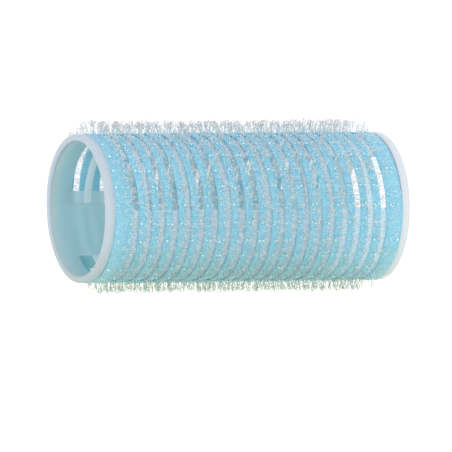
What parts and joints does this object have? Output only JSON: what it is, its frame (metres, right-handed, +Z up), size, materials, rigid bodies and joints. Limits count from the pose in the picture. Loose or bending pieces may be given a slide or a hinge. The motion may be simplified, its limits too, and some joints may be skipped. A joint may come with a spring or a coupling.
{
  "type": "hair roller",
  "caption": "Self-grip hair roller: an open windowed plastic core with end rings, in a banded sleeve with a pile of fine clear hooks that hold the hair.",
  "frame": {"origin": "middle of the bore, halfway along the roller, which is also the middle of its bounding box", "axes": "+X along the roller's axis towards the right end ring, +Z up with the roller lying down, +Y completes a right-handed frame"},
  "size_m": [0.063, 0.0328, 0.0328],
  "materials": {
    "core": "milky translucent polypropylene, satin",
    "end_rings": "milky lavender-white polypropylene, satin",
    "clear_thread": "clear nylon monofilament, glossy",
    "ground_bands": "light blue knitted nylon, slight sheen",
    "hooks": "clear nylon monofilament hooks, glossy"
  },
  "bodies": {
    "root": {"core_tube": "core", "left_end_ring": "end_rings", "right_end_ring": "end_rings", "sleeve_crossing_threads": "clear_thread", "ground_band_left_edge": "ground_bands", "ground_band_01": "ground_bands", "ground_band_02": "ground_bands", "ground_band_03": "ground_bands", "ground_band_04": "ground_bands", "ground_band_05": "ground_bands", "ground_band_06": "ground_bands", "ground_band_07": "ground_bands", "ground_band_08": "ground_bands", "ground_band_09": "ground_bands", "ground_band_10": "ground_bands", "ground_band_11": "ground_bands", "ground_band_12": "ground_bands", "ground_band_13": "ground_bands", "ground_band_14": "ground_bands", "ground_band_15": "ground_bands", "ground_band_16": "ground_bands", "ground_band_17": "ground_bands", "ground_band_18": "ground_bands", "ground_band_19": "ground_bands", "ground_band_right_edge": "ground_bands", "hook_row_left_edge": "hooks", "hook_row_01": "hooks", "hook_row_02": "hooks", "hook_row_03": "hooks", "hook_row_04": "hooks", "hook_row_05": "hooks", "hook_row_06": "hooks", "hook_row_07": "hooks", "hook_row_08": "hooks", "hook_row_09": "hooks", "hook_row_10": "hooks", "hook_row_11": "hooks", "hook_row_12": "hooks", "hook_row_13": "hooks", "hook_row_14": "hooks", "hook_row_15": "hooks", "hook_row_16": "hooks", "hook_row_17": "hooks", "hook_row_18": "hooks", "hook_row_19": "hooks", "hook_row_right_edge": "hooks"}
  },
  "joints": []
}
